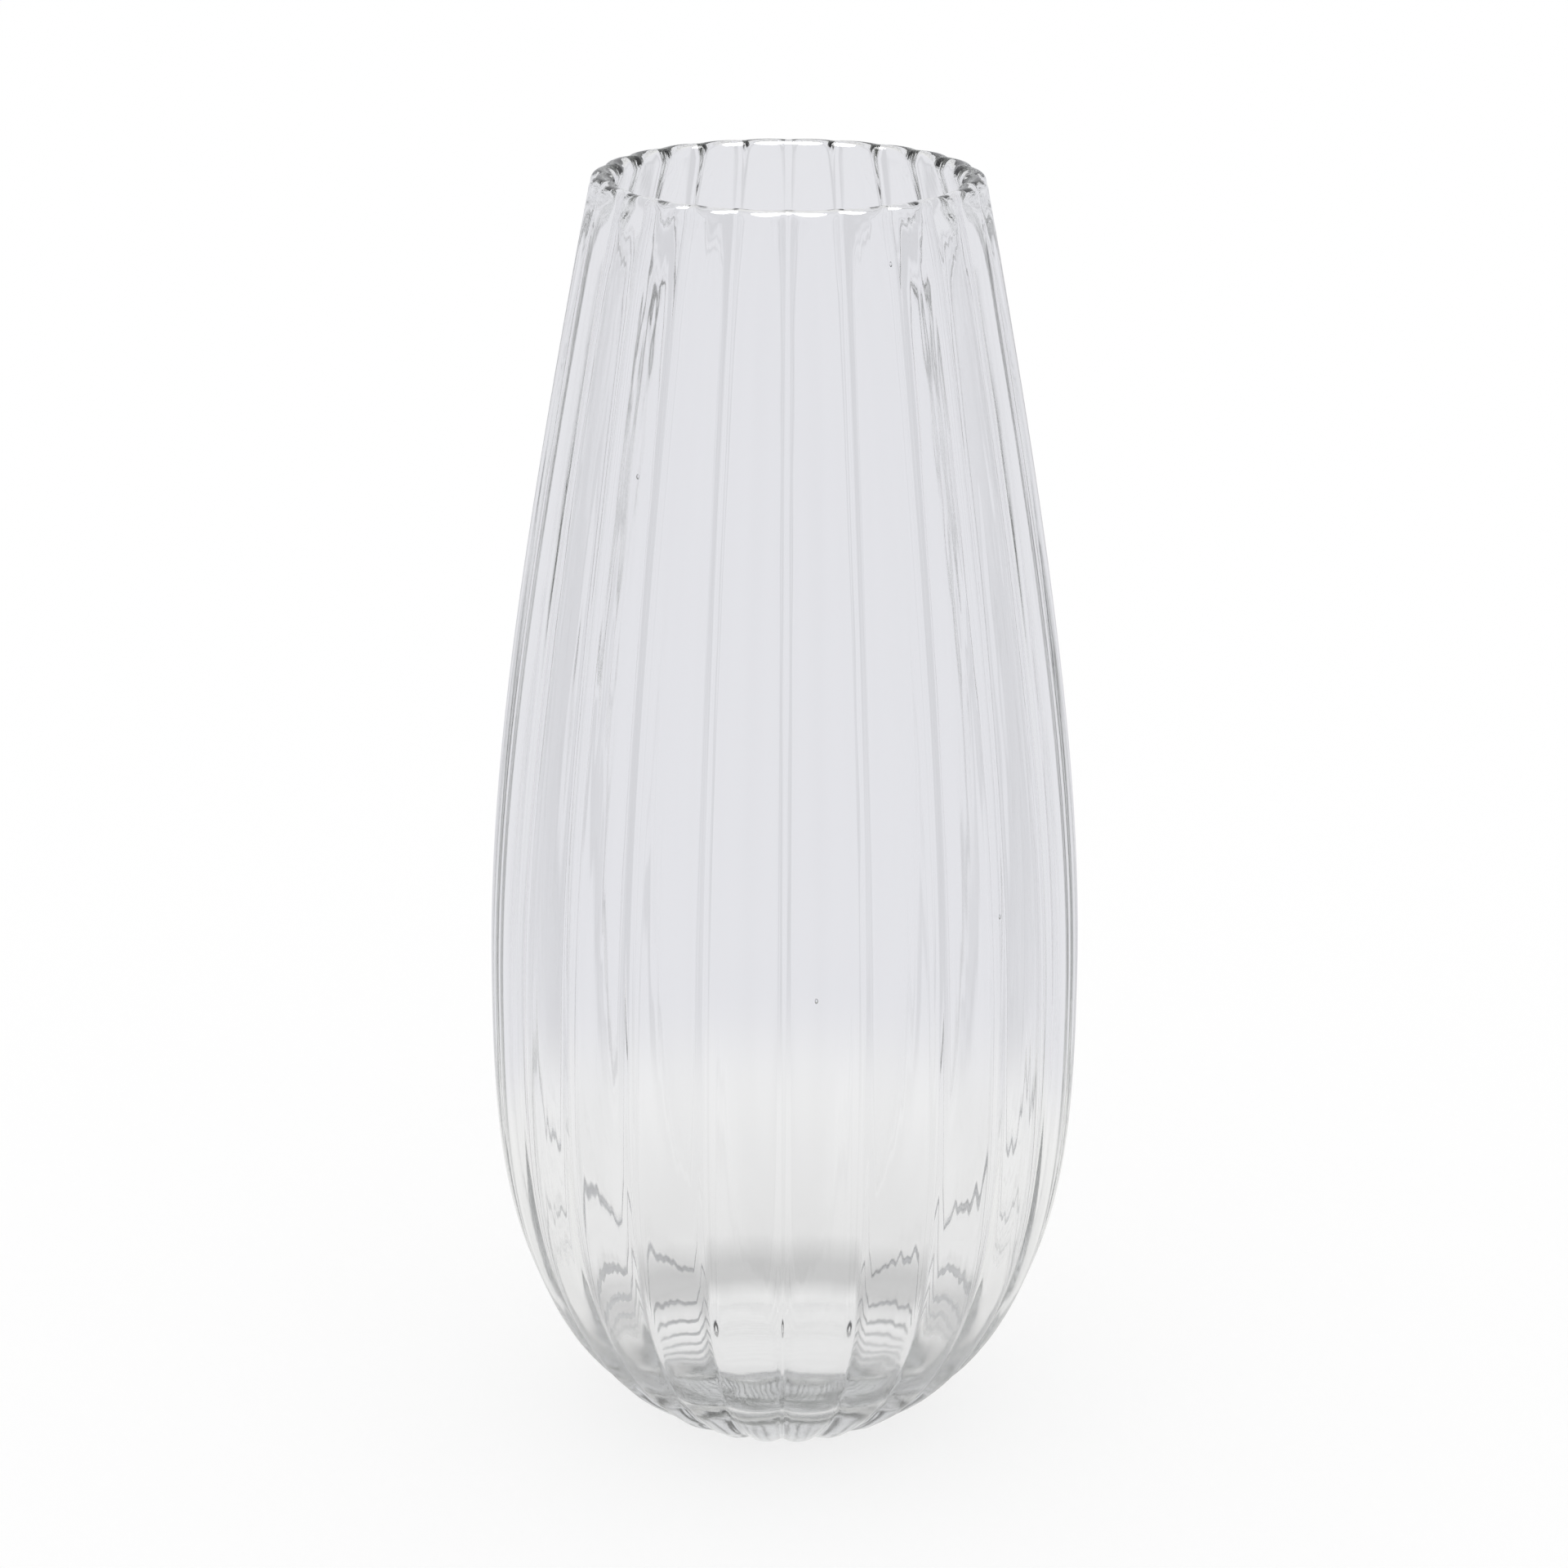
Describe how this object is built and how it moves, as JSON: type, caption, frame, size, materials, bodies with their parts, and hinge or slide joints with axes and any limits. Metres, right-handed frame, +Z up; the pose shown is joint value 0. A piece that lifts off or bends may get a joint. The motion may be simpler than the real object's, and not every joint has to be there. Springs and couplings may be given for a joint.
{
  "type": "glass bud vase",
  "caption": "Slim clear glass bud vase with a fluted, rounded belly, a tapering neck, a rounded lip and a thick base.",
  "frame": {"origin": "centre of the base, on the surface that the vase stands on", "axes": "+Z up along the vase's axis, through the middle of the mouth; a groove between two flutes lies on each of the X and Y axes"},
  "size_m": [0.0692, 0.0692, 0.15],
  "materials": {
    "clear_glass": "clear, fire-polished, very slightly cool grey"
  },
  "bodies": {
    "root": {"glass_vase": "clear_glass"}
  },
  "joints": []
}
